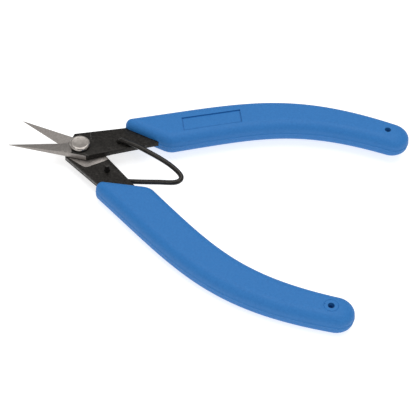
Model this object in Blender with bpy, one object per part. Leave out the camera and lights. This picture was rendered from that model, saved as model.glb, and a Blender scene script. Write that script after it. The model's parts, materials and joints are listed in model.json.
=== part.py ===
"""Fine-pointed shears with plier handles: two identical flat arms crossing on a
rivet, two rubber grips and one wire spring that holds the handles open.

The open, resting pose is modelled. The upper arm is drawn once; the lower arm is the
same arm turned half a turn about X, so it lies under the upper one and mirrors it in
plan. In the drawing frame the pivot axis is Z, the blades point to -X, the handles to
+X, and the plane between the two arms is Z = 0. At the end the whole model is moved so
that the bottom centre of its box is the world's origin.
"""

import math

import bmesh
import bpy
from mathutils import Matrix, Vector

MM = 0.001

# ---- driving dimensions, in millimetres and degrees ---------------------------------

FIT_GAP = 0.3                    # between two pieces that touch on the real tool

# flat steel arm, upper one, seen from above
STRIP_THICKNESS = 1.9
PAD_HEIGHT = 0.1                 # the ground inner face stands proud of the black one
TIP = (-23.7, -6.55)
EDGE_ANGLE = 21.8                # of the cutting edge from +X
TIP_THICKNESS = 0.3
EDGE_LAND = 0.2                  # thickness left along the cutting edge
HEEL_X = -3.7                    # the shoulder behind the cutting edge
SHOULDER_Y = 4.55
OUTER_EDGE_ANGLE = 29.9
BACK_CORNER = (3.8, -4.25)       # where the back of the blade turns into the strip
INNER_EDGE_ANGLE = 36.0
RUNOUT_BACK = (-1.4, -4.6)       # the ground bevel ends on the outer face along a line
RUNOUT_HEEL = (-3.4, 1.9)        # from here to here
RUNOUT_LENGTH = 4.0              # of the hollow that leads the bevel up to that line

# ground pad round the pivot, on the inner face
PAD_CORNER = (4.75, 7.45)
PAD_CORNER_RADIUS = 1.8
PAD_BACK = (9.3, 2.7)
PAD_INNER_EXIT = (10.6, 1.0)

# tang, the part of the arm inside the grip, on the grip's centre curve (0 to 1)
TANG_FRONT = 0.10
TANG_BACK = 0.86
TANG_HALF_WIDTH_FRONT = 4.3
TANG_HALF_WIDTH_BACK = 3.2

# pivot rivet
RIVET_HEAD_DIAMETER = 7.1
RIVET_HEAD_HEIGHT = 1.15
RIVET_RIM_RADIUS = 0.6
RIVET_TAIL_DIAMETER = 6.0
RIVET_TAIL_HEIGHT = 0.9
RIVET_SHANK_DIAMETER = 4.0
RIVET_UNDERCUT = 0.15            # of the head's and the tail's lower edge

# grip, one moulding used twice
GRIP_FRONT_POINT = (12.8, 8.4)
GRIP_END_POINT = (101.6, 40.6)
GRIP_FRONT_ANGLE = 31.2
GRIP_END_ANGLE = -4.9
GRIP_FRONT_PULL = 43.1           # lengths of the two handles of the centre curve
GRIP_END_PULL = 40.6
GRIP_WIDTH_FRONT = 15.0
GRIP_WIDTH_MIDDLE = 13.8
GRIP_WIDTH_END = 11.1
GRIP_THICKNESS = 8.5
GRIP_EDGE_RADIUS = 3.2
GRIP_NOSE = (12.1, 13.0)         # the slanted front crosses the arm's outer edge here
GRIP_FRONT_SLANT = -10.6
GRIP_NOSE_RADIUS = 2.3
GRIP_HEEL_RADIUS = 6.0
GRIP_END_TAPER = 0.55            # extra length taken off the round end for each mm of inset

# small features of the grip
END_HOLE_DIAMETER = 2.2
END_HOLE_AT = 0.98              # on the centre curve
PANEL_LENGTH = 21.2
PANEL_WIDTH = 6.2
PANEL_DEPTH = 0.35
PANEL_AT = 0.285                 # its middle, on the centre curve
PANEL_OFFSET = -0.85             # towards the outer side of the grip
PANEL_END_SLANT = 8.0            # of its short ends from square

# return spring
WIRE_DIAMETER = 1.75
SPRING_HOLE = (12.2, 6.2)
SPRING_HOLE_CLEARANCE = 0.45     # round the wire
WIRE_GAP = 0.3                   # between the wire and the arm's outer face
WIRE_POKE = 2.7                  # the wire's end stands out of the inner face
WIRE_BEND_RADIUS = 1.5
# plan of the loop from one hole to the other, where the wire runs free
SPRING_ROUTE = (
    (18.4, 5.3), (23.0, 4.6), (27.4, 3.75), (31.2, 2.7), (34.5, 1.3), (36.6, -0.2),
    (37.1, -1.7), (36.1, -3.1), (34.0, -3.8), (30.3, -4.3), (25.9, -5.05), (22.2, -5.6),
    (18.4, -6.0),
)

# ---- sizes that follow ---------------------------------------------------------------

ARM_THICKNESS = STRIP_THICKNESS + PAD_HEIGHT
ARM_OFFSET = FIT_GAP / 2
OUTER_FACE = ARM_OFFSET + ARM_THICKNESS
WIRE_RADIUS = WIRE_DIAMETER / 2
WIRE_LEVEL = OUTER_FACE + WIRE_GAP + WIRE_RADIUS
PIVOT_BORE_DIAMETER = RIVET_SHANK_DIAMETER + 2 * FIT_GAP
SPRING_BORE_DIAMETER = WIRE_DIAMETER + 2 * SPRING_HOLE_CLEARANCE
GRIP_MIDDLE_Z = PAD_HEIGHT + STRIP_THICKNESS / 2

CIRCLE_STEPS = 40
FILLET_STEPS = 4
RUNOUT_STEPS = 6
RUNOUT_STATIONS = 8
GRIP_SIDE_STEPS = 18
TANG_STEPS = 14
HALVINGS = 40                    # of a search along the centre curve
CUTTER_OVERRUN = 3.0             # how far a cutter stands out of what it cuts
SHARP_DEGREES = 28


# ---- plane geometry ------------------------------------------------------------------

def direction(degrees):
    return Vector((math.cos(math.radians(degrees)), math.sin(math.radians(degrees))))


def left_of(vector):
    return Vector((-vector.y, vector.x))


def crossing(point_a, along_a, point_b, along_b):
    """Where two lines in the plan cross."""
    denominator = along_a.cross(along_b)
    return point_a + along_a * ((point_b - point_a).cross(along_b) / denominator)


def arc(centre, radius, start, end, steps):
    """Points round an arc, angles in radians."""
    points = []
    for step in range(steps + 1):
        angle = start + (end - start) * step / steps
        points.append(centre + Vector((math.cos(angle), math.sin(angle))) * radius)
    return points


def rounded_corner(corner, arriving, leaving, radius, steps):
    """The arc that rounds a left-turning corner of a counter-clockwise outline."""
    turn = arriving.angle(leaving)
    reach = radius * math.tan(turn / 2)
    centre = corner - arriving * reach + left_of(arriving) * radius
    first = math.atan2(-left_of(arriving).y, -left_of(arriving).x)
    return arc(centre, radius, first, first + turn, steps)


def grip_centre(t):
    """Point of the grip's centre curve, a cubic from its front to its end."""
    p0 = Vector(GRIP_FRONT_POINT)
    p3 = Vector(GRIP_END_POINT)
    p1 = p0 + direction(GRIP_FRONT_ANGLE) * GRIP_FRONT_PULL
    p2 = p3 - direction(GRIP_END_ANGLE) * GRIP_END_PULL
    s = 1 - t
    return p0 * s ** 3 + p1 * 3 * s * s * t + p2 * 3 * s * t * t + p3 * t ** 3


def grip_along(t):
    step = 0.001
    return (grip_centre(t + step) - grip_centre(t - step)).normalized()


def grip_half_width(t):
    """Half the grip's width: a parabola through its front, middle and end widths."""
    front = GRIP_WIDTH_FRONT * (1 - t) * (1 - 2 * t)
    middle = GRIP_WIDTH_MIDDLE * 4 * t * (1 - t)
    end = GRIP_WIDTH_END * t * (2 * t - 1)
    return (front + middle + end) / 2


def beside_grip_curve(t, offset):
    """A point beside the centre curve, offset to its left."""
    return grip_centre(t) + left_of(grip_along(t)) * offset


# ---- outlines ------------------------------------------------------------------------

def tang_half_width(t):
    share = (t - TANG_FRONT) / (TANG_BACK - TANG_FRONT)
    return TANG_HALF_WIDTH_FRONT + (TANG_HALF_WIDTH_BACK - TANG_HALF_WIDTH_FRONT) * share


def tang_side(side, margin):
    """One side of the tang from the grip's mouth to its end; side is 1 outside, -1 inside."""
    points = []
    for step in range(TANG_STEPS + 1):
        t = TANG_FRONT + (TANG_BACK - TANG_FRONT) * step / TANG_STEPS
        points.append(beside_grip_curve(t, side * (tang_half_width(t) + margin)))
    points[-1] = points[-1] + grip_along(TANG_BACK) * margin
    return points


def heel_point():
    """Where the shoulder meets the cutting edge."""
    tip = Vector(TIP)
    return crossing(tip, direction(EDGE_ANGLE), Vector((HEEL_X, 0)), Vector((0, 1)))


def arm_outline():
    """The arm in plan, counter-clockwise from the tip along the back of the blade."""
    outline = [Vector(TIP), Vector(BACK_CORNER)]
    outline += tang_side(-1, 0)
    outline += reversed(tang_side(1, 0))
    outline += [Vector((HEEL_X, SHOULDER_Y)), heel_point()]
    return outline


def tang_cavity_outline():
    """The hollow of the grip in plan: the arm and a gap, open past the grip's front."""
    inner_normal = -left_of(direction(INNER_EDGE_ANGLE))
    outer_normal = left_of(direction(OUTER_EDGE_ANGLE))
    inner_start = Vector(BACK_CORNER) + inner_normal * FIT_GAP
    outer_start = Vector((HEEL_X, SHOULDER_Y)) + outer_normal * FIT_GAP
    outline = [inner_start] + tang_side(-1, FIT_GAP)
    outline += list(reversed(tang_side(1, FIT_GAP))) + [outer_start]
    return outline


def relief_outline():
    """The part of the inner face that is lower than the ground pad, with a wide margin."""
    corner = Vector(PAD_CORNER)
    shoulder = Vector((HEEL_X, SHOULDER_Y))
    back = Vector(PAD_BACK)
    exit_point = Vector(PAD_INNER_EXIT)
    arriving = (corner - back).normalized()
    leaving = (shoulder - corner).normalized()
    margin = max(GRIP_WIDTH_FRONT, GRIP_WIDTH_MIDDLE)
    past_shoulder = shoulder + leaving * CUTTER_OVERRUN
    outline = [exit_point + (exit_point - back).normalized() * CUTTER_OVERRUN, back]
    outline += rounded_corner(corner, arriving, leaving, PAD_CORNER_RADIUS, FILLET_STEPS + 2)
    outline.append(past_shoulder)
    outline.append(past_shoulder + Vector((0, margin)))
    past_end = 1.1
    steps = 12
    stations = [past_end * step / steps for step in range(steps + 1)]
    outline += [beside_grip_curve(t, margin) for t in stations]
    outline += [beside_grip_curve(t, -margin) for t in reversed(stations)]
    return outline


def grip_outline(inset):
    """The grip in plan, counter-clockwise, drawn in by inset all round."""
    sharpest = 0.2
    slant = direction(GRIP_FRONT_SLANT)
    nose = Vector(GRIP_NOSE) + left_of(slant) * inset
    front_along = grip_along(0)
    outer_line = beside_grip_curve(0, grip_half_width(0) - inset)
    nose_corner = crossing(nose, slant, outer_line, front_along)
    t_heel = heel_parameter(nose, slant, inset)
    heel_corner = beside_grip_curve(t_heel, inset - grip_half_width(t_heel))
    nose_arc = rounded_corner(nose_corner, -front_along, slant,
                              max(GRIP_NOSE_RADIUS - inset, sharpest), 10)
    heel_arc = rounded_corner(heel_corner, slant, grip_along(t_heel),
                              max(GRIP_HEEL_RADIUS - inset, sharpest), 6)
    t_end = 1 - GRIP_END_TAPER * inset / (grip_centre(1) - grip_centre(0)).length
    inner = grip_side(-1, side_parameter(-1, heel_arc[-1], inset), t_end, inset)
    outer = grip_side(1, side_parameter(1, nose_arc[0], inset), t_end, inset)
    end_along = grip_along(t_end)
    start = math.atan2(-left_of(end_along).y, -left_of(end_along).x)
    end_arc = arc(grip_centre(t_end), grip_half_width(t_end) - inset, start, start + math.pi, 16)
    return nose_arc + heel_arc + inner + end_arc + outer[::-1]


def heel_parameter(nose, slant, inset):
    """Where on the centre curve the grip's inner side crosses its slanted front."""
    low, high = 0.0, 0.5
    for _ in range(HALVINGS):
        t = (low + high) / 2
        point = beside_grip_curve(t, inset - grip_half_width(t))
        if slant.cross(point - nose) < 0:
            low = t
        else:
            high = t
    return low


def side_parameter(side, point, inset):
    """The centre curve's parameter beside a point near one side of the grip."""
    low, high = 0.0, 0.5
    for _ in range(HALVINGS):
        t = (low + high) / 2
        beside = beside_grip_curve(t, side * (grip_half_width(t) - inset))
        if (point - beside).dot(grip_along(t)) > 0:
            low = t
        else:
            high = t
    return low


def grip_side(side, t_start, t_end, inset):
    """One side of the grip after its front corner and before its round end."""
    points = []
    for step in range(1, GRIP_SIDE_STEPS):
        t = t_start + (t_end - t_start) * step / GRIP_SIDE_STEPS
        points.append(beside_grip_curve(t, side * (grip_half_width(t) - inset)))
    return points


# ---- meshes --------------------------------------------------------------------------

def metres(x, y, z):
    return Vector((x * MM, y * MM, z * MM))


def new_object(name, bm):
    bmesh.ops.recalc_face_normals(bm, faces=bm.faces)
    mesh = bpy.data.meshes.new(name)
    bm.to_mesh(mesh)
    bm.free()
    obj = bpy.data.objects.new(name, mesh)
    bpy.context.scene.collection.objects.link(obj)
    return obj


def loft(name, rings):
    """A closed body through rings of points, its two end rings filled."""
    bm = bmesh.new()
    loops = [[bm.verts.new(point) for point in ring] for ring in rings]
    bm.faces.new(loops[0])
    bm.faces.new(loops[-1])
    for lower, upper in zip(loops, loops[1:]):
        for index, vertex in enumerate(lower):
            after = (index + 1) % len(lower)
            bm.faces.new((vertex, lower[after], upper[after], upper[index]))
    return new_object(name, bm)


def prism(name, outline, low, high):
    return loft(name, [[metres(p.x, p.y, z) for p in outline] for z in (low, high)])


def cylinder(name, centre, diameter, low, high):
    circle = arc(Vector(centre), diameter / 2, 0, 2 * math.pi, CIRCLE_STEPS)
    return prism(name, circle[:-1], low, high)


def cut(obj, cutter):
    """Subtract the cutter; it stays in the scene as a hidden wire body."""
    cutter.hide_render = True
    cutter.display_type = "WIRE"
    modifier = obj.modifiers.new(cutter.name, "BOOLEAN")
    modifier.operation = "DIFFERENCE"
    modifier.solver = "EXACT"
    modifier.object = cutter


def baked(obj):
    """The object's mesh after its modifiers; the object and its cutters are removed."""
    depsgraph = bpy.context.evaluated_depsgraph_get()
    mesh = bpy.data.meshes.new_from_object(obj.evaluated_get(depsgraph))
    mesh.name = obj.name
    for modifier in obj.modifiers:
        bpy.data.objects.remove(modifier.object)
    bpy.data.objects.remove(obj)
    mesh.shade_smooth()
    mesh.set_sharp_from_angle(angle=math.radians(SHARP_DEGREES))
    return mesh


# ---- the arm -------------------------------------------------------------------------

def bevel_height(point):
    """Height of the ground bevel: the plane through the tip, the back and the edge."""
    tip = Vector(TIP)
    back = Vector(RUNOUT_BACK) - tip
    edge = heel_point() - tip
    rise_back = ARM_THICKNESS - TIP_THICKNESS
    rise_edge = EDGE_LAND - TIP_THICKNESS
    area = back.cross(edge)
    slope_x = (rise_back * edge.y - rise_edge * back.y) / area
    slope_y = (rise_edge * back.x - rise_back * edge.x) / area
    away = point - tip
    return TIP_THICKNESS + slope_x * away.x + slope_y * away.y


def grinding_cutter():
    """What the wheel takes off the outside of the blade: the bevel and its run-out."""
    back = Vector(RUNOUT_BACK)
    along = (Vector(RUNOUT_HEEL) - back).normalized()
    outward = left_of(along)
    past_tip = (Vector(TIP) - back).dot(outward) + CUTTER_OVERRUN
    rings = []
    past_heel = (heel_point() - back).dot(along) + CUTTER_OVERRUN
    for place in range(RUNOUT_STATIONS + 1):
        station = (past_heel + CUTTER_OVERRUN) * place / RUNOUT_STATIONS - CUTTER_OVERRUN
        foot = back + along * station
        ring = []
        for step in range(RUNOUT_STEPS + 1):
            share = step / RUNOUT_STEPS
            point = foot + outward * RUNOUT_LENGTH * share
            bevel = bevel_height(point)
            left_standing = max(ARM_THICKNESS - bevel, 0)
            height = bevel + left_standing * (1 - share) ** 2
            ring.append(metres(point.x, point.y, height))
        point = foot + outward * past_tip
        ring.append(metres(point.x, point.y, bevel_height(point)))
        ring.append(metres(point.x, point.y, ARM_THICKNESS + CUTTER_OVERRUN))
        ring.append(metres(foot.x, foot.y, ARM_THICKNESS + CUTTER_OVERRUN))
        rings.append(ring)
    return loft("grinding", rings)


def make_arm_mesh():
    """Arm in its own frame: inner ground face at Z = 0, outer face upwards."""
    arm = prism("arm", arm_outline(), 0, ARM_THICKNESS)
    below = -CUTTER_OVERRUN
    above = ARM_THICKNESS + CUTTER_OVERRUN
    cut(arm, prism("relief", relief_outline(), below, PAD_HEIGHT))
    cut(arm, grinding_cutter())
    cut(arm, cylinder("pivot_bore", (0, 0), PIVOT_BORE_DIAMETER, below, above))
    cut(arm, cylinder("spring_bore", SPRING_HOLE, SPRING_BORE_DIAMETER, below, above))
    return baked(arm)


# ---- the grip ------------------------------------------------------------------------

def make_grip_mesh():
    """Grip in the arm's frame, with the tang's hollow, the end hole and the panel."""
    half = GRIP_THICKNESS / 2
    levels = []
    for step in range(FILLET_STEPS + 1):
        angle = math.pi / 2 * step / FILLET_STEPS
        inset = GRIP_EDGE_RADIUS * (1 - math.sin(angle))
        height = half - GRIP_EDGE_RADIUS * (1 - math.cos(angle))
        levels.append((inset, -height))
    levels += [(inset, -z) for inset, z in reversed(levels)]
    rings = []
    for inset, z in levels:
        rings.append([metres(p.x, p.y, GRIP_MIDDLE_Z + z) for p in grip_outline(inset)])
    grip = loft("grip", rings)
    cut(grip, prism("tang_hollow", tang_cavity_outline(),
                    PAD_HEIGHT - FIT_GAP, ARM_THICKNESS + FIT_GAP))
    hole = grip_centre(END_HOLE_AT)
    cut(grip, cylinder("end_hole", hole, END_HOLE_DIAMETER,
                       GRIP_MIDDLE_Z - GRIP_THICKNESS, GRIP_MIDDLE_Z + GRIP_THICKNESS))
    cut(grip, panel_cutter())
    return baked(grip)


def panel_cutter():
    """A shallow plain panel in the grip's outer face, along the grip's curve."""
    along = grip_along(PANEL_AT)
    slant = math.tan(math.radians(PANEL_END_SLANT))
    across = left_of(along) + along * slant
    middle = beside_grip_curve(PANEL_AT, PANEL_OFFSET)
    corners = []
    for end, side in ((-1, -1), (1, -1), (1, 1), (-1, 1)):
        corners.append(middle + along * end * PANEL_LENGTH / 2 + across * side * PANEL_WIDTH / 2)
    face = GRIP_MIDDLE_Z + GRIP_THICKNESS / 2
    return prism("panel", corners, face - PANEL_DEPTH, face + CUTTER_OVERRUN)


# ---- rivet and spring ----------------------------------------------------------------

def make_rivet():
    """Turned rivet: flat head with a rounded rim on top, formed tail underneath."""
    head = RIVET_HEAD_DIAMETER / 2
    tail = RIVET_TAIL_DIAMETER / 2
    shank = RIVET_SHANK_DIAMETER / 2
    seat = OUTER_FACE + FIT_GAP
    profile = []
    for radius, side, height in ((tail, -1, RIVET_TAIL_HEIGHT), (head, 1, RIVET_HEAD_HEIGHT)):
        rounding = []
        for step in range(FILLET_STEPS + 1):
            angle = math.pi / 2 * step / FILLET_STEPS
            r = radius - RIVET_RIM_RADIUS * (1 - math.sin(angle))
            z = height - RIVET_RIM_RADIUS * (1 - math.cos(angle))
            rounding.append((r, side * (seat + z)))
        rounding.append((radius - RIVET_UNDERCUT, side * seat))
        rounding.append((shank, side * seat))
        profile += rounding if side < 0 else rounding[::-1]
    rings = []
    for radius, z in profile:
        angles = [2 * math.pi * k / CIRCLE_STEPS for k in range(CIRCLE_STEPS)]
        rings.append([metres(radius * math.cos(a), radius * math.sin(a), z) for a in angles])
    rivet = loft("pivot_rivet", rings)
    rivet.data.shade_smooth()
    rivet.data.set_sharp_from_angle(angle=math.radians(SHARP_DEGREES))
    return rivet


def spring_points():
    """The wire's centre line: a hook through the upper arm, the loop, the lower hook."""
    knots = []
    for side, mouth in ((1, SPRING_ROUTE[0]), (-1, SPRING_ROUTE[-1])):
        hole = Vector((SPRING_HOLE[0], side * SPRING_HOLE[1]))
        away = (Vector(mouth) - hole).normalized()
        hook = [Vector((hole.x, hole.y, side * (ARM_OFFSET + PAD_HEIGHT - WIRE_POKE)))]
        hook.append(Vector((hole.x, hole.y, side * (ARM_OFFSET + PAD_HEIGHT))))
        for step in range(FILLET_STEPS + 1):
            angle = math.pi / 2 * step / FILLET_STEPS
            run = WIRE_BEND_RADIUS * (1 - math.cos(angle))
            rise = WIRE_BEND_RADIUS * (1 - math.sin(angle))
            spot = hole + away * run
            hook.append(Vector((spot.x, spot.y, side * (WIRE_LEVEL - rise))))
        knots.append(hook)
    upper_hook, lower_hook = knots
    loop = []
    lengths = [0.0]
    for before, after in zip(SPRING_ROUTE, SPRING_ROUTE[1:]):
        lengths.append(lengths[-1] + (Vector(after) - Vector(before)).length)
    for (x, y), length in zip(SPRING_ROUTE, lengths):
        share = length / lengths[-1]
        loop.append(Vector((x, y, WIRE_LEVEL * (1 - 2 * share))))
    return upper_hook, loop, lower_hook[::-1]


def smooth_curve(knots, spacing):
    """A Catmull-Rom curve through the knots, with a point about every spacing."""
    points = []
    padded = [2 * knots[0] - knots[1]] + knots + [2 * knots[-1] - knots[-2]]
    for a, b, c, d in zip(padded, padded[1:], padded[2:], padded[3:]):
        steps = max(1, round((c - b).length / spacing))
        for step in range(steps):
            t = step / steps
            points.append(0.5 * (2 * b + (c - a) * t + (2 * a - 5 * b + 4 * c - d) * t * t
                                 + (3 * b - 3 * c + d - a) * t ** 3))
    points.append(knots[-1])
    return points


def make_spring():
    upper_hook, loop, lower_hook = spring_points()
    curve = bpy.data.curves.new("return_spring", "CURVE")
    curve.dimensions = "3D"
    curve.bevel_depth = WIRE_RADIUS * MM
    curve.bevel_resolution = 2
    curve.use_fill_caps = True
    points = upper_hook[:-1]
    spacing = 2.2 * WIRE_DIAMETER
    points += smooth_curve([upper_hook[-1]] + loop + [lower_hook[0]], spacing)
    points += lower_hook[1:]
    spline = curve.splines.new("POLY")
    spline.points.add(len(points) - 1)
    for spot, point in zip(spline.points, points):
        spot.co = (*metres(*point), 1)
    spring = bpy.data.objects.new("return_spring", curve)
    bpy.context.scene.collection.objects.link(spring)
    return spring


# ---- materials and assembly ----------------------------------------------------------

def material(name, colour, roughness, metallic):
    made = bpy.data.materials.new(name)
    made.use_nodes = True
    shader = made.node_tree.nodes["Principled BSDF"]
    shader.inputs["Base Color"].default_value = (*colour, 1)
    shader.inputs["Roughness"].default_value = roughness
    shader.inputs["Metallic"].default_value = metallic
    made.diffuse_color = (*colour, 1)
    return made


def empty(name, parent, location, turn_x):
    made = bpy.data.objects.new(name, None)
    bpy.context.scene.collection.objects.link(made)
    made.parent = parent
    made.location = location
    made.rotation_euler = (turn_x, 0, 0)
    return made


def place(obj, parent, coat):
    obj.parent = parent
    obj.data.materials.clear()
    obj.data.materials.append(coat)
    return obj


def piece(name, mesh, parent, coat):
    """One more object of a mesh that the two halves share."""
    obj = bpy.data.objects.new(name, mesh.copy())
    bpy.context.scene.collection.objects.link(obj)
    return place(obj, parent, coat)


def stand_on_origin(root, pieces):
    """Move the model so that the bottom centre of its box is the world's origin."""
    bpy.context.view_layer.update()
    depsgraph = bpy.context.evaluated_depsgraph_get()
    corners = []
    for obj in pieces:
        evaluated = obj.evaluated_get(depsgraph)
        mesh = evaluated.to_mesh()
        corners += [obj.matrix_world @ vertex.co for vertex in mesh.vertices]
        evaluated.to_mesh_clear()
    low = Vector(min(corner[axis] for corner in corners) for axis in range(3))
    high = Vector(max(corner[axis] for corner in corners) for axis in range(3))
    root.location = -Vector(((low.x + high.x) / 2, (low.y + high.y) / 2, low.z))
    bpy.context.view_layer.update()


def build():
    for obj in list(bpy.data.objects):
        bpy.data.objects.remove(obj)

    black_steel = material("black_steel", (0.03, 0.028, 0.027), 0.45, 0.8)
    rivet_steel = material("rivet_steel", (0.36, 0.34, 0.32), 0.4, 1.0)
    wire_steel = material("wire_steel", (0.04, 0.038, 0.036), 0.35, 0.9)
    blue_rubber = material("blue_rubber", (0.053, 0.195, 0.497), 0.6, 0.0)

    root = empty("shears", None, (0, 0, 0), 0)
    upper = empty("upper_half", root, (0, 0, ARM_OFFSET * MM), 0)
    lower = empty("lower_half", root, (0, 0, -ARM_OFFSET * MM), math.pi)

    arm_mesh = make_arm_mesh()
    grip_mesh = make_grip_mesh()
    pieces = [
        piece("upper_arm", arm_mesh, upper, black_steel),
        piece("lower_arm", arm_mesh, lower, black_steel),
        piece("upper_grip", grip_mesh, upper, blue_rubber),
        piece("lower_grip", grip_mesh, lower, blue_rubber),
        place(make_rivet(), root, rivet_steel),
        place(make_spring(), root, wire_steel),
    ]
    stand_on_origin(root, pieces)


build()
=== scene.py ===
"""Looks of the fine-pointed shears: ground and blackened arms, moulded grips, rivet and spring wire.

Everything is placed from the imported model: the pivot comes from its joint, and the arms are
finished copies of its own solids. Plan sizes below are in millimetres from the pivot, for the
upper half; the lower half is the same half turned over about X.
"""

import json
import math

import bmesh
import bpy
from mathutils import Matrix, Vector

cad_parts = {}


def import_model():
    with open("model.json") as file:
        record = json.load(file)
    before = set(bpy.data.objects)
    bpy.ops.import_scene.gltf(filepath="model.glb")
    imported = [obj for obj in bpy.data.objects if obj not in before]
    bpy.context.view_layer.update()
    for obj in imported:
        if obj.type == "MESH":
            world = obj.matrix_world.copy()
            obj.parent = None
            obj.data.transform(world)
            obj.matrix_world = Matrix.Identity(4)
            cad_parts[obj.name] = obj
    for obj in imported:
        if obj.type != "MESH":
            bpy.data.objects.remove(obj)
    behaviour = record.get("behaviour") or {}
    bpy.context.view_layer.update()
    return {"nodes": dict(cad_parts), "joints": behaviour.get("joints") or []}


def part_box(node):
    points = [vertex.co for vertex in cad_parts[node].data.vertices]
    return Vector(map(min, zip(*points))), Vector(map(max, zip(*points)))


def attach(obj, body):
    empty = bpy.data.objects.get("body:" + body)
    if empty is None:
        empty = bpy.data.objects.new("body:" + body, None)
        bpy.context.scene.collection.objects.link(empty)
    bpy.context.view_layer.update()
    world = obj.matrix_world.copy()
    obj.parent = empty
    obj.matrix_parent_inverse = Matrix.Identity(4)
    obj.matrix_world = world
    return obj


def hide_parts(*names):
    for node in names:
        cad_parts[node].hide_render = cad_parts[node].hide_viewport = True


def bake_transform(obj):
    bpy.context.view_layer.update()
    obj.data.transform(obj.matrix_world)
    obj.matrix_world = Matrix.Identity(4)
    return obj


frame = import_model()

MM = 0.001
PIVOT = Vector(frame["joints"][0]["pos_m"])
LOWER = "lower_half"
UPPER = "upper_half"
TURNED_OVER = Matrix.Rotation(math.pi, 4, "X")
CORNERS = ((-1, -1), (1, -1), (1, 1), (-1, 1))

# how close places count as one, and a cut's own tolerance, in millimetres
MERGE_DISTANCE = 0.001
FINE_MERGE_DISTANCE = 0.0005
CUT_TOLERANCE = 0.0001

# how far a cutter runs past the face it cuts, in millimetres
CUTTER_OVERRUN = 1

# a face counts as level when its normal is at least this upright
LEVEL_NORMAL = 0.99

# ---- sizes, in millimetres from the pivot -------------------------------------------

# half of the gap between the arms, then up through one arm
ARM_OFFSET = (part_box("upper_arm")[0].z - PIVOT.z) / MM
OUTER_FACE = (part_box("upper_arm")[1].z - PIVOT.z) / MM
PAD_HEIGHT = 0.1
FIT_GAP = 0.3
TIP_X = (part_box("upper_arm")[0].x - PIVOT.x) / MM

# grip
GRIP_FRONT_POINT = (12.8, 8.4)
GRIP_END_POINT = (101.6, 40.6)
GRIP_FRONT_ANGLE = 31.2
GRIP_END_ANGLE = -4.9
GRIP_FRONT_PULL = 43.1
GRIP_END_PULL = 40.6
GRIP_WIDTH_FRONT = 15.0
GRIP_WIDTH_MIDDLE = 13.8
GRIP_WIDTH_END = 11.1
GRIP_THICKNESS = (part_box("upper_grip")[1].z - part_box("upper_grip")[0].z) / MM
GRIP_MIDDLE = (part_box("upper_grip")[1].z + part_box("upper_grip")[0].z) / 2 / MM - PIVOT.z / MM
GRIP_EDGE_RADIUS = 3.2
GRIP_NOSE = (12.1, 13.0)
GRIP_FRONT_SLANT = -10.6
GRIP_NOSE_RADIUS = 2.3
GRIP_HEEL_RADIUS = 6.0
GRIP_END_TAPER = 0.55
GRIP_PARTING = 0.08
GRIP_FACE_INSET = 0.3
SHARPEST_RADIUS = 0.15

# how finely the grip is drawn
CURVE_STEP = 0.001
CURVE_HALVINGS = 40
NOSE_STEPS = 16
HEEL_STEPS = 12
SIDE_STEPS = 48
END_STEPS = 32
TANG_STEPS = 24
EDGE_STEPS = 10

# hollow for the tang, the arm's straight edges and then the grip's centre curve
HOLLOW_GAP = 0.12
BACK_CORNER = (3.8, -4.25)
INNER_EDGE_ANGLE = 36.0
SHOULDER = (-3.7, 4.55)
OUTER_EDGE_ANGLE = 29.9
TANG_FRONT = 0.10
TANG_BACK = 0.86
TANG_HALF_WIDTH_FRONT = 4.3
TANG_HALF_WIDTH_BACK = 3.2

# scribed line across the outer face
SCRIBE_START = (1.12, 7.24)
SCRIBE_ANGLE = -64.9
SCRIBE_LENGTH = 3.4
SCRIBE_WIDTH = 0.13

# painted sheen: a band along the middle of the wall of the arm's outer edge, given the lighter worn
# finish to stand in for the reflection there, and how squarely a face has to face that way
PAINTED_SHEEN_BAND = 0.6
WALL_FACING = 0.98

# broken edges of the arms, back from the heel of the blade
EDGE_BREAK = 0.2
EDGE_BREAK_STEPS = 2
HEEL_REACH = 4.5
SHARP_ANGLE = 40
SHORTEST_EDGE = 0.5
COPLANAR_ANGLE = 0.3

# what tells the ground faces of an arm: the pad's level, the bevel's lean and the tip's reach
PAD_TOLERANCE = 0.02
BEVEL_LEAN = (0.1, 0.9999)
TIP_REACH = 0.3
WALL_LEAN = 0.1

# the coats of an arm and of the wire, by their place in the piece's list; the arm's third coat is the
# worn finish, also used as painted sheen
OXIDE, GROUND, WEAR_AND_SHEEN = 0, 1, 2
DRAWN, CUT_END = 0, 1

# the angle, in degrees, past which an edge is shaded sharp
ARM_CREASE = 32
GRIP_CREASE = 35
RIVET_CREASE = 35
WIRE_CREASE = 40

# marks on the grip
END_HOLE_RADIUS = 1.1
END_HOLE_AT = 0.98
END_HOLE_STEPS = 32
MOULD_RING_RADIUS = 2.35
MOULD_RING_GROOVE = 0.13
MOULD_RING_STEPS = 48
GATE_MARK = (96.95, 41.1)
GATE_MARK_LENGTH = 1.1
GATE_MARK_WIDTH = 0.3
GATE_MARK_DEPTH = 0.15
GATE_MARK_ANGLE = -65
PANEL_LENGTH = 21.2
PANEL_WIDTH = 6.2
PANEL_DEPTH = 0.35
PANEL_AT = 0.285
PANEL_OFFSET = -0.85
PANEL_END_SLANT = 8.0
PANEL_GROOVE = 0.45

# rivet
RIVET_HEAD_RADIUS = 3.55
RIVET_TAIL_RADIUS = 3.0
RIVET_SHANK_RADIUS = 2.0
RIVET_RIM = 0.75
RIVET_RIM_DROP = 0.95
RIVET_DISH = 0.05
RIVET_DISH_EDGE = 0.4
RIVET_LIP = 0.15
RIVET_RIM_STEPS = 8
RIVET_TURN_STEPS = 96
RIVET_TOP = (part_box("pivot_rivet")[1].z - PIVOT.z) / MM
RIVET_BOTTOM = (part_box("pivot_rivet")[0].z - PIVOT.z) / MM
RIVET_SEAT = OUTER_FACE + FIT_GAP

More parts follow.
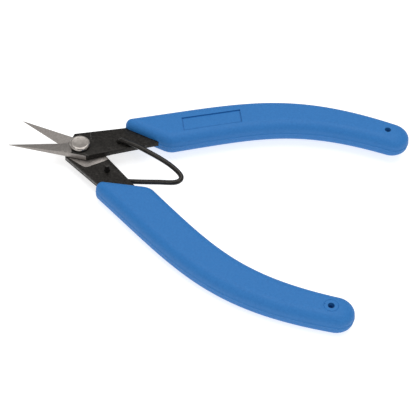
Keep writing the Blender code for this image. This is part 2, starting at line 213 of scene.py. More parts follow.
# spring wire
WIRE_RADIUS = 0.875
WIRE_LEVEL = OUTER_FACE + FIT_GAP + WIRE_RADIUS
WIRE_BEND_RADIUS = 1.5
WIRE_BEND_STEPS = 8
WIRE_POKE = 2.7
WIRE_ROUNDNESS = 5
WIRE_RIM_ANGLE = 60
WIRE_RIM_BREAK = 0.2
WIRE_RIM_STEPS = 3
WIRE_END_NORMAL = 0.97
ROUTE_STEPS = 8
SPRING_HOLE = (12.2, 6.2)
SNUG_GAP = 0.15
SPRING_ROUTE = (
    (18.4, 5.3), (23.0, 4.6), (27.4, 3.75), (31.2, 2.7), (34.5, 1.3), (36.6, -0.2),
    (37.1, -1.7), (36.1, -3.1), (34.0, -3.8), (30.3, -4.3), (25.9, -5.05), (22.2, -5.6),
    (18.4, -6.0),
)

# where the wire's lengths part, and each place's share
SPRING_LENGTHS = ("spring_upper_hook", "spring_upper_leg", "spring_loop", "spring_lower_leg",
                  "spring_lower_hook")
LEG_STARTS = (SPRING_ROUTE[0], SPRING_ROUTE[-1])
LOOP_STARTS = (SPRING_ROUTE[2], SPRING_ROUTE[-3])
LEG_SHARE = 0.695
LOOP_SHARE = 0.567
HOOK_ENDS = ((13.1, 6.07), (13.1, -6.2))

# camera
VIEW_ELEVATION = 47.0
VIEW_AZIMUTH = 14.2
VIEW_ROLL = 4.1
VIEW_TARGET = (50.7, -12.0, 0.0)
VIEW_DISTANCE = 476.0
VIEW_LENS = 122.4
NEAR_CLIP = 0.01

# floor and lights, in metres and watts: each light's name, place, width and power
FLOOR_HALF_SIZE = 3.0
FLOOR_DROP = 0.00005
SURROUND_STRENGTH = 0.44
STUDIO_LIGHTS = (
    ("overhead", (0.0, 0.15, 0.8), 0.9, 4.2),
    ("softbox_left", (-0.25, -0.7, 0.63), 0.3, 0.9),
    ("softbox_right", (0.69, -0.39, 0.6), 0.3, 0.9),
)

# ---- colours, each a dark and a light end ----------------------------------------------

NO_YES = ((0, 0, 0), (1, 1, 1))
WHITE = (1, 1, 1, 1)
WARM_TINT = (1.0, 0.95, 0.9, 1)
FLOOR_GREY = (0.6, 0.6, 0.6, 1)
RUBBER_BLUES = ((0.017, 0.155, 0.445), (0.023, 0.180, 0.490))
BATH_BLACKS = ((0.0014, 0.0012, 0.0010), (0.0225, 0.0207, 0.0187))
SCUFFED_GREYS = ((0.03, 0.0285, 0.027), (0.075, 0.071, 0.067))
# lighter greys of the worn finish: real wear on the scribe line and cut wire ends, and painted sheen
# on the outer wall and the edges
WEAR_AND_SHEEN_GREYS = ((0.05, 0.048, 0.046), (0.20, 0.192, 0.184))
CLEAN_STEELS = ((0.235, 0.215, 0.201), (0.365, 0.340, 0.320))
PITTED_STEELS = ((0.10, 0.09, 0.08), (0.16, 0.145, 0.13))
RIVET_STEELS = ((0.35, 0.322, 0.297), (0.50, 0.463, 0.43))
WIRE_BLACKS = ((0.006, 0.0056, 0.0051), (0.016, 0.0148, 0.0137))


# ---- curves in plan ------------------------------------------------------------------

def direction(degrees):
    """The unit vector at an angle from X."""
    return Vector((math.cos(math.radians(degrees)), math.sin(math.radians(degrees))))


def left_of(vector):
    """The vector a quarter turn to the left."""
    return Vector((-vector.y, vector.x))


def crossing(point_a, along_a, point_b, along_b):
    """Where two straight lines meet."""
    denominator = along_a.cross(along_b)
    return point_a + along_a * ((point_b - point_a).cross(along_b) / denominator)


def arc(centre, radius, start, end, steps):
    """Points on a circle from one angle to another."""
    points = []
    for step in range(steps + 1):
        angle = start + (end - start) * step / steps
        points.append(centre + Vector((math.cos(angle), math.sin(angle))) * radius)
    return points


def rounded_corner(corner, arriving, leaving, radius, steps):
    """The arc that rounds a corner between two directions."""
    turn = arriving.angle(leaving)
    centre = corner - arriving * radius * math.tan(turn / 2) + left_of(arriving) * radius
    first = math.atan2(-left_of(arriving).y, -left_of(arriving).x)
    return arc(centre, radius, first, first + turn, steps)


def grip_centre(t):
    """The grip's centre curve, from its front at 0 to its round end at 1."""
    p0 = Vector(GRIP_FRONT_POINT)
    p3 = Vector(GRIP_END_POINT)
    p1 = p0 + direction(GRIP_FRONT_ANGLE) * GRIP_FRONT_PULL
    p2 = p3 - direction(GRIP_END_ANGLE) * GRIP_END_PULL
    s = 1 - t
    return p0 * s ** 3 + p1 * 3 * s * s * t + p2 * 3 * s * t * t + p3 * t ** 3


def grip_along(t):
    return (grip_centre(t + CURVE_STEP) - grip_centre(t - CURVE_STEP)).normalized()


def grip_half_width(t):
    """Half the grip's width, through its widths at the front, the middle and the end."""
    front = GRIP_WIDTH_FRONT * (1 - t) * (1 - 2 * t)
    middle = GRIP_WIDTH_MIDDLE * 4 * t * (1 - t)
    end = GRIP_WIDTH_END * t * (2 * t - 1)
    return (front + middle + end) / 2


def beside_grip_curve(t, offset):
    return grip_centre(t) + left_of(grip_along(t)) * offset


def solve(is_before):
    """The curve parameter where is_before turns false."""
    low, high = 0.0, 0.5
    for _ in range(CURVE_HALVINGS):
        t = (low + high) / 2
        if is_before(t):
            low = t
        else:
            high = t
    return low


def side_points(side, corner_end, t_end, inset, steps):
    """One side of the grip, from the end of a front corner to the round end."""
    def before(t):
        beside = beside_grip_curve(t, side * (grip_half_width(t) - inset))
        return (corner_end - beside).dot(grip_along(t)) > 0
    start = solve(before)
    ts = [start + (t_end - start) * step / steps for step in range(1, steps)]
    return [beside_grip_curve(t, side * (grip_half_width(t) - inset)) for t in ts]


def grip_outline(inset):
    """The grip in plan, counter-clockwise, drawn in by inset all round."""
    slant = direction(GRIP_FRONT_SLANT)
    nose = Vector(GRIP_NOSE) + left_of(slant) * inset
    along = grip_along(0)
    nose_corner = crossing(nose, slant, beside_grip_curve(0, grip_half_width(0) - inset), along)
    t_heel = solve(lambda t: slant.cross(beside_grip_curve(t, inset - grip_half_width(t)) - nose) < 0)
    heel_corner = beside_grip_curve(t_heel, inset - grip_half_width(t_heel))
    nose_radius = max(GRIP_NOSE_RADIUS - inset, SHARPEST_RADIUS)
    heel_radius = max(GRIP_HEEL_RADIUS - inset, SHARPEST_RADIUS)
    nose_arc = rounded_corner(nose_corner, -along, slant, nose_radius, NOSE_STEPS)
    heel_arc = rounded_corner(heel_corner, slant, grip_along(t_heel), heel_radius, HEEL_STEPS)
    t_end = 1 - GRIP_END_TAPER * inset / (grip_centre(1) - grip_centre(0)).length
    inner = side_points(-1, heel_arc[-1], t_end, inset, SIDE_STEPS)
    outer = side_points(1, nose_arc[0], t_end, inset, SIDE_STEPS)
    end_along = grip_along(t_end)
    start = math.atan2(-left_of(end_along).y, -left_of(end_along).x)
    end_radius = grip_half_width(t_end) - inset
    end_arc = arc(grip_centre(t_end), end_radius, start, start + math.pi, END_STEPS)
    return nose_arc + heel_arc + inner + end_arc + outer[::-1]


def tang_side(side):
    """One side of the hollow that the tang fills."""
    points = []
    for step in range(TANG_STEPS + 1):
        share = step / TANG_STEPS
        half_width = TANG_HALF_WIDTH_FRONT + (TANG_HALF_WIDTH_BACK - TANG_HALF_WIDTH_FRONT) * share
        t = TANG_FRONT + (TANG_BACK - TANG_FRONT) * share
        points.append(beside_grip_curve(t, side * (half_width + HOLLOW_GAP)))
    points[-1] = points[-1] + grip_along(TANG_BACK) * HOLLOW_GAP
    return points


def hollow_outline():
    """The hollow for the tang in plan, counter-clockwise."""
    inner_start = Vector(BACK_CORNER) - left_of(direction(INNER_EDGE_ANGLE)) * HOLLOW_GAP
    outer_start = Vector(SHOULDER) + left_of(direction(OUTER_EDGE_ANGLE)) * HOLLOW_GAP
    return [inner_start] + tang_side(-1) + tang_side(1)[::-1] + [outer_start]


def panel_corners(margin):
    """The corners of the framed panel, drawn in by margin."""
    along = grip_along(PANEL_AT)
    across = left_of(along) + along * math.tan(math.radians(PANEL_END_SLANT))
    middle = beside_grip_curve(PANEL_AT, PANEL_OFFSET)
    reach = PANEL_LENGTH / 2 - margin
    width = PANEL_WIDTH / 2 - margin
    return [middle + along * end * reach + across * side * width
            for end, side in CORNERS]


# ---- bmesh helpers -------------------------------------------------------------------

def at(x, y, z):
    """A place given in millimetres from the pivot, in the frame's metres."""
    return PIVOT + Vector((x, y, z)) * MM


def link_mesh(name, bm):
    """A new object in the scene from a finished bmesh."""
    mesh = bpy.data.meshes.new(name)
    bm.to_mesh(mesh)
    bm.free()
    obj = bpy.data.objects.new(name, mesh)
    bpy.context.scene.collection.objects.link(obj)
    return obj


def rings_to_solid(name, rings):
    """A closed body: one ring of vertices extruded from ring to ring, both ends filled."""
    bm = bmesh.new()
    order = bm.verts.layers.int.new("order")
    bmesh.ops.create_circle(bm, segments=len(rings[0]), radius=1, cap_ends=False)
    for index, vertex in enumerate(bm.verts):
        vertex[order] = index
        vertex.co = rings[0][index]
    loop = list(bm.edges)
    ends = [list(loop)]
    for ring in rings[1:]:
        made = bmesh.ops.extrude_edge_only(bm, edges=loop)["geom"]
        loop = [item for item in made if isinstance(item, bmesh.types.BMEdge)]
        for vertex in (item for item in made if isinstance(item, bmesh.types.BMVert)):
            vertex.co = ring[vertex[order]]
    ends.append(loop)
    for end in ends:
        bmesh.ops.contextual_create(bm, geom=end)
    bmesh.ops.recalc_face_normals(bm, faces=bm.faces)
    return link_mesh(name, bm)


def prism(name, outline, low, high):
    """A plan outline raised from one level to another."""
    return rings_to_solid(name, [[at(p.x, p.y, z) for p in outline] for z in (low, high)])


def cut(obj, cutter):
    """Take one body out of another, once apply_cuts is called."""
    modifier = obj.modifiers.new(cutter.name, "BOOLEAN")
    modifier.operation = "DIFFERENCE"
    modifier.solver = "EXACT"
    modifier.object = cutter


def apply_cuts(obj):
    depsgraph = bpy.context.evaluated_depsgraph_get()
    mesh = bpy.data.meshes.new_from_object(obj.evaluated_get(depsgraph))
    cutters = [modifier.object for modifier in obj.modifiers]
    obj.modifiers.clear()
    obj.data = mesh
    for cutter in cutters:
        bpy.data.objects.remove(cutter)


def merge_close(bm, distance):
    bmesh.ops.remove_doubles(bm, verts=bm.verts, dist=distance * MM)


def full_turn(bm, centre, steps):
    """Spin everything once round an upright axis and close the body."""
    bmesh.ops.spin(bm, geom=bm.verts[:] + bm.edges[:], cent=centre, axis=(0, 0, 1),
                   angle=2 * math.pi, steps=steps, use_merge=True)


def part_faces(bm, faces, point, normal):
    """Part the given faces along the plane through point that normal stands on."""
    geom = faces + [e for f in faces for e in f.edges] + [v for f in faces for v in f.verts]
    bmesh.ops.bisect_plane(bm, geom=list(set(geom)), dist=CUT_TOLERANCE * MM,
                           plane_co=point, plane_no=normal)


def bevel_edges(bm, edges, width, segments):
    made = bmesh.ops.bevel(bm, geom=edges, offset=width * MM, affect="EDGES", segments=segments,
                           profile=0.5, material=-1, clamp_overlap=True)
    return made["faces"]


def smooth(mesh, angle):
    """Shade smoothly, apart from edges sharper than angle."""
    mesh.shade_smooth()
    mesh.set_sharp_from_angle(angle=math.radians(angle))


# ---- materials -----------------------------------------------------------------------

def shader_of(name):
    """A new material and its shader."""
    made = bpy.data.materials.new(name)
    made.use_nodes = True
    return made, made.node_tree.nodes["Principled BSDF"]


def node(made, kind, **settings):
    """A new node, with its inputs or its own settings given by name."""
    added = made.node_tree.nodes.new(kind)
    for key, value in settings.items():
        if key in added.inputs:
            added.inputs[key].default_value = value
        else:
            setattr(added, key, value)
    return added


def join(made, output, socket):
    made.node_tree.links.new(output, socket)


def grain(made, scale, detail, stretch=(1, 1, 1), turn=0.0):
    """Noise on Object coordinates, drawn out by stretch after a turn about Z."""
    place = node(made, "ShaderNodeTexCoord")
    mapping = node(made, "ShaderNodeMapping")
    mapping.inputs["Rotation"].default_value = (0, 0, math.radians(turn))
    mapping.inputs["Scale"].default_value = stretch
    noise = node(made, "ShaderNodeTexNoise", Scale=scale, Detail=detail)
    join(made, place.outputs["Object"], mapping.inputs["Vector"])
    join(made, mapping.outputs["Vector"], noise.inputs["Vector"])
    return noise.outputs["Fac"]


def ramp(made, factor, low, high, low_colour, high_colour):
    """A colour that runs from one to the other as factor goes from low to high."""
    added = node(made, "ShaderNodeValToRGB")
    added.color_ramp.elements[0].position = low
    added.color_ramp.elements[0].color = (*low_colour, 1)
    added.color_ramp.elements[1].position = high
    added.color_ramp.elements[1].color = (*high_colour, 1)
    join(made, factor, added.inputs["Fac"])
    return added.outputs["Color"]


def layered(made, factor, under, over):
    """Two colours, the second showing where factor is 1."""
    added = node(made, "ShaderNodeMix", data_type="RGBA")
    join(made, factor, added.inputs["Factor"])
    join(made, under, added.inputs["A"])
    join(made, over, added.inputs["B"])
    return added.outputs["Result"]


def spread(made, factor, low, high):
    """Factor mapped onto low to high."""
    added = node(made, "ShaderNodeMapRange")
    added.inputs["To Min"].default_value = low
    added.inputs["To Max"].default_value = high
    join(made, factor, added.inputs["Value"])
    return added.outputs["Result"]


def bump(made, shader, height, depth_mm, strength):
    """Raise the surface by height, to a depth in millimetres."""
    added = node(made, "ShaderNodeBump", Strength=strength, Distance=depth_mm * MM)
    join(made, height, added.inputs["Height"])
    join(made, added.outputs["Normal"], shader.inputs["Normal"])


def blue_rubber():
    """Moulded grip rubber: a fine speckle and a dull, slightly uneven skin."""
    made, shader = shader_of("blue_rubber")
    speckle = grain(made, scale=1400, detail=6)
    patches = grain(made, scale=600, detail=2)
    skin = grain(made, scale=3200, detail=3)
    join(made, ramp(made, speckle, 0.3, 0.7, *RUBBER_BLUES), shader.inputs["Base Color"])
    join(made, spread(made, patches, low=0.5, high=0.66), shader.inputs["Roughness"])
    bump(made, shader, skin, depth_mm=0.02, strength=0.5)
    shader.inputs["Specular IOR Level"].default_value = 0.35
    return made


def black_oxide():
    """Oxide bath black: fine mottling, with scuffs where the surface was rubbed."""
    made, shader = shader_of("black_oxide")
    mottle = grain(made, scale=1500, detail=8)
    bath = ramp(made, mottle, 0.3, 0.7, *BATH_BLACKS)
    bare = ramp(made, mottle, 0.3, 0.7, *SCUFFED_GREYS)
    scuffs = grain(made, scale=420, detail=10, stretch=(0.5, 3.2, 1), turn=35)
    scuffed = ramp(made, scuffs, 0.63, 0.72, *NO_YES)
    patches = grain(made, scale=900, detail=4)
    tooth = grain(made, scale=2600, detail=4)
    join(made, layered(made, scuffed, bath, bare), shader.inputs["Base Color"])
    join(made, spread(made, patches, low=0.36, high=0.54), shader.inputs["Roughness"])
    bump(made, shader, tooth, depth_mm=0.012, strength=0.5)
    shader.inputs["Specular IOR Level"].default_value = 0.18
    shader.inputs["Specular Tint"].default_value = WARM_TINT
    return made


def worn_edge_and_sheen():
    """Black oxide rubbed thin along an edge, lighter and part metallic; the same finish also serves
    as painted sheen on the outer wall's band and as part of the painted edge highlights.
    """
    made, shader = shader_of("worn_edge_and_sheen")
    wear_and_sheen_grain = grain(made, scale=700, detail=5)
    tooth = grain(made, scale=2600, detail=4)
    join(made, ramp(made, wear_and_sheen_grain, 0.4, 0.7, *WEAR_AND_SHEEN_GREYS), shader.inputs["Base Color"])
    join(made, spread(made, wear_and_sheen_grain, low=0.5, high=0.35), shader.inputs["Roughness"])
    bump(made, shader, tooth, depth_mm=0.01, strength=0.4)
    shader.inputs["Metallic"].default_value = 0.6
    return made


def ground_steel():
    """Steel off the grinding wheel: fine lines, a warm grey and a few dark pits."""
    made, shader = shader_of("ground_steel")
    lines = grain(made, scale=1300, detail=6, stretch=(2.0, 0.7, 1), turn=-15)
    clean = ramp(made, lines, 0.25, 0.75, *CLEAN_STEELS)
    pitted = ramp(made, lines, 0.25, 0.75, *PITTED_STEELS)
    pits = ramp(made, grain(made, scale=650, detail=3), 0.70, 0.76, *NO_YES)
    patches = grain(made, scale=700, detail=4)
    join(made, layered(made, pits, clean, pitted), shader.inputs["Base Color"])
    join(made, spread(made, patches, low=0.42, high=0.58), shader.inputs["Roughness"])
    bump(made, shader, lines, depth_mm=0.004, strength=0.3)
    shader.inputs["Metallic"].default_value = 1.0
    return made


def rivet_steel():
    """Bright turned steel with faint rings round the pivot axis."""
    made, shader = shader_of("rivet_steel")
    mottle = grain(made, scale=700, detail=5)
    patches = grain(made, scale=1500, detail=3)
    join(made, ramp(made, mottle, 0.3, 0.7, *RIVET_STEELS), shader.inputs["Base Color"])
    join(made, spread(made, patches, low=0.24, high=0.36), shader.inputs["Roughness"])
    place = node(made, "ShaderNodeTexCoord")
    centre = node(made, "ShaderNodeMapping")
    centre.inputs["Location"].default_value = -PIVOT
    rings = node(made, "ShaderNodeTexWave", wave_type="RINGS", rings_direction="Z",
                 Scale=900, Distortion=2.0)
    join(made, place.outputs["Object"], centre.inputs["Vector"])
    join(made, centre.outputs["Vector"], rings.inputs["Vector"])
    bump(made, shader, rings.outputs["Fac"], depth_mm=0.004, strength=0.06)
    shader.inputs["Metallic"].default_value = 1.0
    return made


def black_wire():
    """Blackened spring wire, smoother than the strip."""
    made, shader = shader_of("black_wire")
    drawn = grain(made, scale=800, detail=4)
    tooth = grain(made, scale=4000, detail=2)
    join(made, ramp(made, drawn, 0.3, 0.7, *WIRE_BLACKS), shader.inputs["Base Color"])
    join(made, spread(made, drawn, low=0.24, high=0.36), shader.inputs["Roughness"])
    bump(made, shader, tooth, depth_mm=0.006, strength=0.3)
    shader.inputs["Specular IOR Level"].default_value = 0.32
    shader.inputs["Specular Tint"].default_value = WARM_TINT
    return made


# ---- pieces --------------------------------------------------------------------------

def is_ground(face, inner_level, outward):
    """Whether a face of an arm is ground bright: its pad, its bevel or a wall of its blade."""
    centre = face.calc_center_median()
    if abs(face.normal.z) > LEVEL_NORMAL and abs(centre.z - inner_level) < PAD_TOLERANCE * MM:
        return True
    if BEVEL_LEAN[0] < face.normal.z * outward < BEVEL_LEAN[1] and centre.x < PIVOT.x:
        return True
    touches_tip = any(v.co.x < PIVOT.x + (TIP_X + TIP_REACH) * MM for v in face.verts)
    return touches_tip and abs(face.normal.z) < WALL_LEAN


def scribe_line(bm, outward):
    """Part a thin strip off the outer face and give it the worn finish."""
    def on_face(face):
        return face.normal.z * outward > LEVEL_NORMAL and face.material_index == OXIDE

    along = direction(SCRIBE_ANGLE)
    across = left_of(along)
    start = Vector(SCRIBE_START) - along * CUTTER_OVERRUN
    end = Vector(SCRIBE_START) + along * SCRIBE_LENGTH
    side = outward * SCRIBE_WIDTH / 2
    cuts = [(start + across * side, across), (start - across * side, across), (end, along)]
    for point, normal in cuts:
        part_faces(bm, [face for face in bm.faces if on_face(face)],
                   at(point.x, point.y * outward, 0), (normal.x, normal.y * outward, 0))
    for face in bm.faces:
        if not on_face(face):
            continue
        spot = (face.calc_center_median() - PIVOT) / MM
        away = Vector((spot.x, spot.y * outward)) - start
        reach = SCRIBE_LENGTH + CUTTER_OVERRUN
        if abs(away.dot(across)) < SCRIBE_WIDTH / 2 and away.dot(along) < reach:
            face.material_index = WEAR_AND_SHEEN


def snug_bore(bm, outward):
    """Draw the spring's bore in to a close fit round the wire."""
    hole = Vector((SPRING_HOLE[0], SPRING_HOLE[1] * outward))
    for vertex in bm.verts:
        away = (vertex.co - PIVOT).xy / MM - hole
        if away.length < 2 * WIRE_RADIUS:
            wall = hole + away.normalized() * (WIRE_RADIUS + SNUG_GAP)
            vertex.co.xy = PIVOT.xy + wall * MM


def paint_sheen_on_wall(bm, outward):
    """Part a band along the middle of the outer edge's wall and give it the lighter worn finish as a
    painted sheen, standing in for the light reflected on that wall.
    """
    middle = (ARM_OFFSET + PAD_HEIGHT + OUTER_FACE) / 2
    across = left_of(direction(OUTER_EDGE_ANGLE))

    def on_wall(face):
        facing = Vector((face.normal.x, face.normal.y * outward))
        return facing.dot(across) > WALL_FACING and face.material_index == OXIDE

    for level in (middle - PAINTED_SHEEN_BAND / 2, middle + PAINTED_SHEEN_BAND / 2):
        part_faces(bm, [face for face in bm.faces if on_wall(face)],
                   at(0, 0, level * outward), (0, 0, 1))
    for face in bm.faces:
        level = (face.calc_center_median().z - PIVOT.z) / MM * outward
        if on_wall(face) and abs(level - middle) < PAINTED_SHEEN_BAND / 2:
            face.material_index = WEAR_AND_SHEEN


def make_arm(name, node_name, inner_level, outward, coats):
    """The arm's own solid with its edges broken and its ground faces told apart."""
    bm = bmesh.new()
    bm.from_mesh(frame["nodes"][node_name].data)
    merge_close(bm, MERGE_DISTANCE)
    bmesh.ops.dissolve_limit(bm, angle_limit=math.radians(COPLANAR_ANGLE), verts=bm.verts,
                             edges=bm.edges)
    snug_bore(bm, outward)
    for face in bm.faces:
        face.material_index = GROUND if is_ground(face, inner_level, outward) else OXIDE
    heel = PIVOT.x - HEEL_REACH * MM
    sharp = [edge for edge in bm.edges if edge.calc_face_angle(0) > math.radians(SHARP_ANGLE)]
    strip = [edge for edge in sharp if min(vertex.co.x for vertex in edge.verts) > heel
             and edge.calc_length() > SHORTEST_EDGE * MM]
    # the broken edges take the lighter worn finish: edge wear, and also a painted highlight along the
    # edges
    for face in bevel_edges(bm, strip, EDGE_BREAK, EDGE_BREAK_STEPS):
        if face.material_index == OXIDE:
            face.material_index = WEAR_AND_SHEEN
    scribe_line(bm, outward)
    # painted sheen: the lighter finish on the middle band of the outer wall
    paint_sheen_on_wall(bm, outward)
    arm = link_mesh(name, bm)
    for coat in coats:
        arm.data.materials.append(coat)
    smooth(arm.data, ARM_CREASE)
    return arm


def grip_rings():
    """The grip's outline at each level, from its underside round its edges to its top."""
    half = GRIP_THICKNESS / 2
    levels = [(GRIP_EDGE_RADIUS + GRIP_FACE_INSET, -half)]
    for step in range(EDGE_STEPS + 1):
        angle = math.pi / 2 * step / EDGE_STEPS
        levels.append((GRIP_EDGE_RADIUS * (1 - math.sin(angle)) + GRIP_PARTING,
                       GRIP_EDGE_RADIUS * (1 - math.cos(angle)) - half))
    levels.append((GRIP_PARTING, -1.5 * GRIP_PARTING))
    levels += [(0, 0)] + [(inset, -z) for inset, z in reversed(levels)]
    return [[at(p.x, p.y, GRIP_MIDDLE + z) for p in grip_outline(inset)] for inset, z in levels]


def ring_groove(centre, z):
    """A ring-shaped cutter for the mould mark round the end hole."""
    bm = bmesh.new()
    bmesh.ops.create_circle(bm, segments=4, radius=MOULD_RING_GROOVE * MM, cap_ends=False)
    bmesh.ops.rotate(bm, verts=bm.verts, matrix=Matrix.Rotation(math.pi / 2, 3, "X"))
    middle = at(centre.x, centre.y, z)
    bmesh.ops.translate(bm, verts=bm.verts, vec=middle + Vector((MOULD_RING_RADIUS * MM, 0, 0)))
    full_turn(bm, middle, MOULD_RING_STEPS)
    merge_close(bm, MERGE_DISTANCE)
    bmesh.ops.recalc_face_normals(bm, faces=bm.faces)
    return link_mesh("mould_ring", bm)


def gate_mark(z):
    """A cutter for the small nick that the mould's gate leaves beside the end hole."""
    along = direction(GATE_MARK_ANGLE)
    across = left_of(along)
    middle = Vector(GATE_MARK)
    corners = [middle + along * a * GATE_MARK_LENGTH / 2 + across * b * GATE_MARK_WIDTH / 2
               for a, b in CORNERS]
    return prism("gate_mark", corners, z - CUTTER_OVERRUN, z + GATE_MARK_DEPTH)


def make_grip(name, turned, rubber):
    """The moulding with its tang hollow, end hole, framed panel, mould ring and gate mark."""
    grip = rings_to_solid(name, grip_rings())
    top = GRIP_MIDDLE + GRIP_THICKNESS / 2
    underside = GRIP_MIDDLE - GRIP_THICKNESS / 2
    low = ARM_OFFSET + PAD_HEIGHT - HOLLOW_GAP
    cut(grip, prism("tang_hollow", hollow_outline(), low, OUTER_FACE + HOLLOW_GAP))
    hole = grip_centre(END_HOLE_AT)
    circle = arc(hole, END_HOLE_RADIUS, 0, 2 * math.pi, END_HOLE_STEPS)[:-1]
    cut(grip, prism("end_hole", circle, GRIP_MIDDLE - GRIP_THICKNESS, GRIP_MIDDLE + GRIP_THICKNESS))
    cut(grip, prism("panel", panel_corners(0), top - PANEL_DEPTH, top + CUTTER_OVERRUN))
    groove = prism("panel_groove", panel_corners(0), top - 1.5 * PANEL_DEPTH, top - PANEL_DEPTH / 2)
    cut(groove, prism("panel_floor", panel_corners(PANEL_GROOVE), top - CUTTER_OVERRUN,
                      top + CUTTER_OVERRUN))
    apply_cuts(groove)
    cut(grip, groove)
    cut(grip, ring_groove(hole, underside))
    cut(grip, gate_mark(underside))
    apply_cuts(grip)
    if turned:
        grip.data.transform(Matrix.Translation(PIVOT) @ TURNED_OVER @ Matrix.Translation(-PIVOT))
    grip.data.materials.append(rubber)
    smooth(grip.data, GRIP_CREASE)
    return grip


def make_rivet(steel):
    """The rivet turned about the pivot axis: head, shank and tail in one profile."""
    flat = RIVET_HEAD_RADIUS - RIVET_RIM
    profile = [(0, RIVET_TOP - RIVET_DISH), (flat - RIVET_DISH_EDGE, RIVET_TOP - RIVET_DISH)]
    profile.append((flat - RIVET_DISH_EDGE / 2, RIVET_TOP - RIVET_DISH / 2))
    for step in range(RIVET_RIM_STEPS + 1):
        angle = math.pi / 2 * step / RIVET_RIM_STEPS
        profile.append((RIVET_HEAD_RADIUS - RIVET_RIM * (1 - math.sin(angle)),
                        RIVET_TOP - RIVET_RIM_DROP * (1 - math.cos(angle))))
    profile += [(RIVET_HEAD_RADIUS, RIVET_SEAT + RIVET_LIP),
                (RIVET_HEAD_RADIUS - RIVET_LIP, RIVET_SEAT),
                (RIVET_SHANK_RADIUS, RIVET_SEAT),
                (RIVET_SHANK_RADIUS, -RIVET_SEAT),
                (RIVET_TAIL_RADIUS - RIVET_LIP, -RIVET_SEAT),
                (RIVET_TAIL_RADIUS, -RIVET_SEAT - RIVET_LIP)]
    for step in range(RIVET_RIM_STEPS, -1, -1):
        angle = math.pi / 2 * step / RIVET_RIM_STEPS
        profile.append((RIVET_TAIL_RADIUS - RIVET_RIM * (1 - math.sin(angle)),
                        RIVET_BOTTOM + RIVET_RIM * (1 - math.cos(angle))))
    profile.append((0, RIVET_BOTTOM))
    bm = bmesh.new()
    points = [bm.verts.new(at(radius, 0, z)) for radius, z in profile]
    for before, after in zip(points, points[1:]):
        bm.edges.new((before, after))
    full_turn(bm, PIVOT, RIVET_TURN_STEPS)
    merge_close(bm, FINE_MERGE_DISTANCE)
    bmesh.ops.recalc_face_normals(bm, faces=bm.faces)
    rivet = link_mesh("rivet", bm)
    rivet.data.materials.append(steel)
    smooth(rivet.data, RIVET_CREASE)
    return rivet


def hook_points(side, mouth):
    """The wire's end, up through its hole and round the bend, given for one arm."""
    hole = Vector((SPRING_HOLE[0], side * SPRING_HOLE[1]))
    away = (Vector(mouth) - hole).normalized()
    inner = ARM_OFFSET + PAD_HEIGHT
    points = [Vector((hole.x, hole.y, side * (inner - WIRE_POKE))),
              Vector((hole.x, hole.y, side * inner))]
    for step in range(WIRE_BEND_STEPS + 1):
        angle = math.pi / 2 * step / WIRE_BEND_STEPS
        spot = hole + away * WIRE_BEND_RADIUS * (1 - math.cos(angle))
        level = WIRE_LEVEL - WIRE_BEND_RADIUS * (1 - math.sin(angle))
        points.append(Vector((spot.x, spot.y, side * level)))
    return points


def loop_points(start, end):
    """The loop between the two hooks as one smooth curve."""
    lengths = [0.0]
    for before, after in zip(SPRING_ROUTE, SPRING_ROUTE[1:]):
        lengths.append(lengths[-1] + (Vector(after) - Vector(before)).length)
    knots = [start]
    for (x, y), length in zip(SPRING_ROUTE, lengths):
        knots.append(Vector((x, y, WIRE_LEVEL * (1 - 2 * length / lengths[-1]))))
    knots.append(end)
    padded = [2 * knots[0] - knots[1]] + knots + [2 * knots[-1] - knots[-2]]
    points = []
    for a, b, c, d in zip(padded, padded[1:], padded[2:], padded[3:]):
        for step in range(ROUTE_STEPS):
            t = step / ROUTE_STEPS
            points.append(0.5 * (2 * b + (c - a) * t + (2 * a - 5 * b + 4 * c - d) * t * t
                                 + (3 * b - 3 * c + d - a) * t ** 3))
    return points[1:]


def wire_tube(points):
    """The wire round its path, closed, with its two cut ends rounded off."""
    curve = bpy.data.curves.new("wire_path", "CURVE")
    curve.dimensions = "3D"
    curve.bevel_depth = WIRE_RADIUS * MM
    curve.bevel_resolution = WIRE_ROUNDNESS
    curve.use_fill_caps = True
    spline = curve.splines.new("POLY")
    spline.points.add(len(points) - 1)
    for spot, point in zip(spline.points, points):
        spot.co = (*at(*point), 1)
    path = bpy.data.objects.new("wire_path", curve)
    bpy.context.scene.collection.objects.link(path)
    depsgraph = bpy.context.evaluated_depsgraph_get()
    bm = bmesh.new()
    bm.from_mesh(bpy.data.meshes.new_from_object(path.evaluated_get(depsgraph)))
    bpy.data.objects.remove(path)
    merge_close(bm, MERGE_DISTANCE)
    rims = [edge for edge in bm.edges if edge.calc_face_angle(0) > math.radians(WIRE_RIM_ANGLE)]
    bevel_edges(bm, rims, WIRE_RIM_BREAK, WIRE_RIM_STEPS)
    bmesh.ops.recalc_face_normals(bm, faces=bm.faces)
    for face in bm.faces:
        is_end = abs(face.normal.z) > WIRE_END_NORMAL and len(face.verts) > 4
        face.material_index = CUT_END if is_end else DRAWN
    return bm


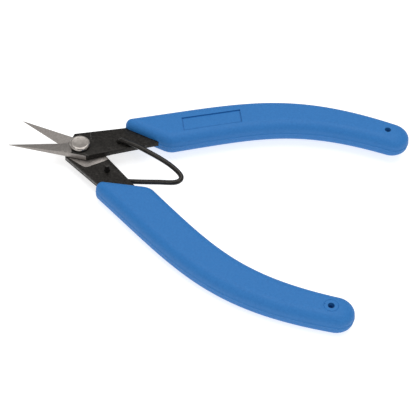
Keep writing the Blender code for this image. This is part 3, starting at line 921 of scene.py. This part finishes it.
def make_spring(coats):
    """The wire in five lengths, parted at the starts of the legs and of the loop."""
    upper = hook_points(1, SPRING_ROUTE[0])
    lower = hook_points(-1, SPRING_ROUTE[-1])
    points = upper + loop_points(upper[-1], lower[-1]) + lower[::-1]
    middles = [(at(*a) + at(*b)) / 2 for a, b in zip(points, points[1:])]
    parted = [min(range(len(points)), key=lambda i: (points[i].xy - Vector(spot)).length)
              for spot in (LEG_STARTS[0], LOOP_STARTS[0], LOOP_STARTS[1], LEG_STARTS[1])]
    whole = wire_tube(points)
    length_of = {}
    for face in whole.faces:
        centre = face.calc_center_median()
        span = min(range(len(middles)), key=lambda i: (middles[i] - centre).length)
        length_of[face.index] = sum(span >= cut_at for cut_at in parted)
    lengths = []
    for number, name in enumerate(SPRING_LENGTHS):
        bm = whole.copy()
        others = [face for face in bm.faces if length_of[face.index] != number]
        bmesh.ops.delete(bm, geom=others, context="FACES")
        open_edges = [edge for edge in bm.edges if edge.is_boundary]
        bmesh.ops.holes_fill(bm, edges=open_edges, sides=0)
        bmesh.ops.recalc_face_normals(bm, faces=bm.faces)
        length = link_mesh(name, bm)
        for coat in coats:
            length.data.materials.append(coat)
        smooth(length.data, WIRE_CREASE)
        lengths.append(length)
    whole.free()
    return lengths


def bend_between(piece):
    """Bake the piece's placement into its mesh."""
    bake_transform(piece)


# ---- stage ---------------------------------------------------------------------------

def make_floor():
    """A pale floor, just under the tool."""
    bm = bmesh.new()
    bmesh.ops.create_grid(bm, x_segments=1, y_segments=1, size=FLOOR_HALF_SIZE)
    floor = link_mesh("floor", bm)
    floor.location.z = -FLOOR_DROP
    made, shader = shader_of("pale_floor")
    shader.inputs["Base Color"].default_value = FLOOR_GREY
    shader.inputs["Roughness"].default_value = 0.9
    shader.inputs["Specular IOR Level"].default_value = 0.0
    shader.inputs["Emission Color"].default_value = WHITE
    shader.inputs["Emission Strength"].default_value = 0.7
    floor.data.materials.append(made)


def make_light(name, place, width, power):
    """A round soft light aimed at the middle of the tool."""
    light = bpy.data.lights.new(name, "AREA")
    light.shape = "DISK"
    light.size = width
    light.energy = power
    lamp = bpy.data.objects.new(name, light)
    bpy.context.scene.collection.objects.link(lamp)
    lamp.location = place
    lamp.rotation_euler = (-Vector(place)).to_track_quat("-Z", "Y").to_euler()


def make_studio():
    """An even white surround and three soft lights."""
    world = bpy.data.worlds.new("studio")
    bpy.context.scene.world = world
    world.use_nodes = True
    background = world.node_tree.nodes["Background"]
    background.inputs["Color"].default_value = WHITE
    background.inputs["Strength"].default_value = SURROUND_STRENGTH
    for name, place, width, power in STUDIO_LIGHTS:
        make_light(name, place, width, power)
    bpy.context.scene.view_settings.view_transform = "Standard"


def make_camera():
    """The camera, held by its angles round the tool and its distance from the target."""
    elevation = math.radians(VIEW_ELEVATION)
    azimuth = math.radians(VIEW_AZIMUTH)
    back = Vector((math.cos(elevation) * math.sin(azimuth),
                   -math.cos(elevation) * math.cos(azimuth), math.sin(elevation)))
    right = Vector((math.cos(azimuth), math.sin(azimuth), 0))
    roll = Matrix.Rotation(math.radians(VIEW_ROLL), 3, back)
    right = roll @ right
    up = back.cross(right)
    turn = Matrix((right, up, back)).transposed().to_4x4()
    camera = bpy.data.objects.new("camera", bpy.data.cameras.new("camera"))
    bpy.context.scene.collection.objects.link(camera)
    camera.data.lens = VIEW_LENS
    camera.data.clip_start = NEAR_CLIP
    camera.matrix_world = Matrix.Translation(at(*VIEW_TARGET) + back * VIEW_DISTANCE * MM) @ turn
    bpy.context.scene.camera = camera


# ---- assembly ------------------------------------------------------------------------

make_camera()
make_studio()
make_floor()

arm_coats = (black_oxide(), ground_steel(), worn_edge_and_sheen())
rubber = blue_rubber()

upper_arm = make_arm("upper_arm_finished", "upper_arm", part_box("upper_arm")[0].z, 1, arm_coats)
lower_arm = make_arm("lower_arm_finished", "lower_arm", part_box("lower_arm")[1].z, -1, arm_coats)
upper_grip = make_grip("upper_grip_moulded", False, rubber)
lower_grip = make_grip("lower_grip_moulded", True, rubber)
rivet = make_rivet(rivet_steel())
spring = make_spring((black_wire(), arm_coats[WEAR_AND_SHEEN]))

for piece, body, replaced, slot in (
    (upper_arm, UPPER, "upper_arm", "black_steel"),
    (lower_arm, LOWER, "lower_arm", "black_steel"),
    (upper_grip, UPPER, "upper_grip", "blue_rubber"),
    (lower_grip, LOWER, "lower_grip", "blue_rubber"),
    (rivet, LOWER, "pivot_rivet", "rivet_steel"),
):
    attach(piece, body)
    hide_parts(replaced)

places = ((HOOK_ENDS[0], 1), (LEG_STARTS[0], LEG_SHARE), (LOOP_STARTS[0], LOOP_SHARE),
          (LOOP_STARTS[1], 1 - LOOP_SHARE), (LEG_STARTS[1], 1 - LEG_SHARE), (HOOK_ENDS[1], 0))
for length, (place_a, share_a), (place_b, share_b) in zip(spring, places, places[1:]):
    bend_between(length)
    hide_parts("return_spring")
